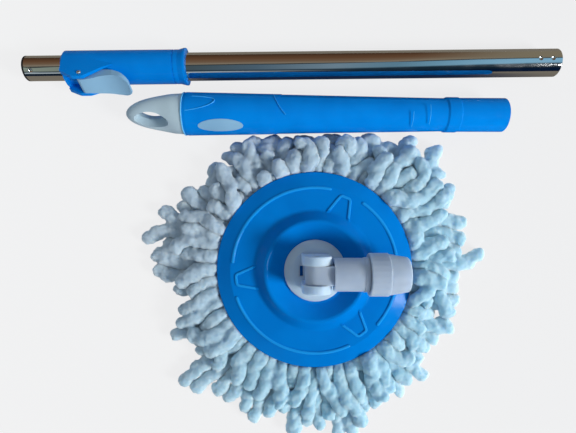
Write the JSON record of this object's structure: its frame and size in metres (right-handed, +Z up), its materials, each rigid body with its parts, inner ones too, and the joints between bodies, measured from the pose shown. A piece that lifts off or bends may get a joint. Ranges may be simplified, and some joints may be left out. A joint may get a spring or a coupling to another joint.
{
  "type": "spin mop",
  "caption": "Round flat spin mop head with a swivel connector and microfibre strands, with its telescopic pole and its hand grip lying beside it.",
  "frame": {"origin": "on the floor under the mop head's spin axis", "axes": "+Z up, +X along the lying pole and grip towards the pole's upper end, +Y from the head to the grip and the pole"},
  "size_m": [0.4521, 0.3359, 0.0667],
  "materials": {
    "blue_plastic": "glossy blue polypropylene",
    "white_plastic": "white polypropylene",
    "microfibre": "chenille microfibre strands",
    "milky_plastic": "milky translucent polypropylene",
    "zinc_steel": "zinc plated steel",
    "chrome_tube": "bright chromed steel",
    "nylon": "natural nylon",
    "grey_plastic": "light grey polypropylene",
    "black_plastic": "black nylon"
  },
  "bodies": {
    "head": {"head_disc": "blue_plastic", "refill_plate": "white_plastic", "strand_clamp_ring": "white_plastic", "strand_mat": "microfibre"},
    "swivel_hub": {"hub_plate": "milky_plastic", "hub_retainer": "white_plastic", "hub_screws": "zinc_steel", "hinge_pin": "zinc_steel"},
    "connector": {"pole_connector": "milky_plastic"},
    "nut": {"clamp_nut": "milky_plastic"},
    "outer_pole": {"outer_tube": "chrome_tube", "lock_sleeve": "blue_plastic", "guide_bush": "nylon", "lever_pin": "zinc_steel", "anchor_plug": "nylon", "anchor_pin": "zinc_steel", "spiral_rod": "zinc_steel", "rod_stop": "zinc_steel"},
    "lever": {"lock_lever": "grey_plastic"},
    "shoe": {"clamp_shoe": "black_plastic"},
    "slide_head": {"guide_head": "nylon"},
    "inner_pole": {"inner_tube": "chrome_tube", "end_plug": "black_plastic", "drive_nut": "nylon", "clutch_ring": "nylon", "clutch_spring": "zinc_steel"},
    "handle": {"grip_shell": "blue_plastic", "hanger_cap": "grey_plastic", "grip_inlay": "grey_plastic"}
  },
  "joints": [
    {"name": "hub_swivel", "type": "hinge", "parent": "head", "child": "swivel_hub", "pos_m": [0, 0, 0.0243], "axis": [0, 0, 1], "continuous": true},
    {"name": "connector_tilt", "type": "hinge", "parent": "swivel_hub", "child": "connector", "pos_m": [0, 0, 0.05], "axis": [0, -1, 0], "range_deg": [0, 180]},
    {"name": "nut_turn", "type": "hinge", "parent": "connector", "child": "nut", "pos_m": [0.0398, 0, 0.05], "axis": [1, 0, 0], "range_deg": [0, 360]},
    {"name": "pole_lift", "type": "slide", "parent": "head", "child": "outer_pole", "axis": [0, 0, 1], "range_m": [0, 0.3]},
    {"name": "handle_lift", "type": "slide", "parent": "head", "child": "handle", "axis": [0, 0, 1], "range_m": [0, 0.3]},
    {"name": "lever_flip", "type": "hinge", "parent": "outer_pole", "child": "lever", "pos_m": [-0.19135, 0.15553, 0.02533], "axis": [-0.0026, -0.4999, -0.8661], "range_deg": [0, 80]},
    {"name": "shoe_press", "type": "slide", "parent": "outer_pole", "child": "shoe", "axis": [0.019, -0.8659, 0.4998], "range_m": [0, 0.000918]},
    {"name": "tube_slide", "type": "slide", "parent": "outer_pole", "child": "slide_head", "axis": [-0.9998, -0.0152, 0.0117], "range_m": [0, 0.25]},
    {"name": "tube_spin", "type": "hinge", "parent": "slide_head", "child": "inner_pole", "pos_m": [0.11824, 0.17609, 0.01254], "axis": [0.9998, 0.0152, -0.0117], "range_deg": [-826.4, 0]}
  ],
  "couplings": [
    {"joint": "shoe_press", "follows": "lever_flip", "m_per_rad": 0.00064458},
    {"joint": "tube_spin", "follows": "tube_slide", "rad_per_m": -57.12}
  ]
}
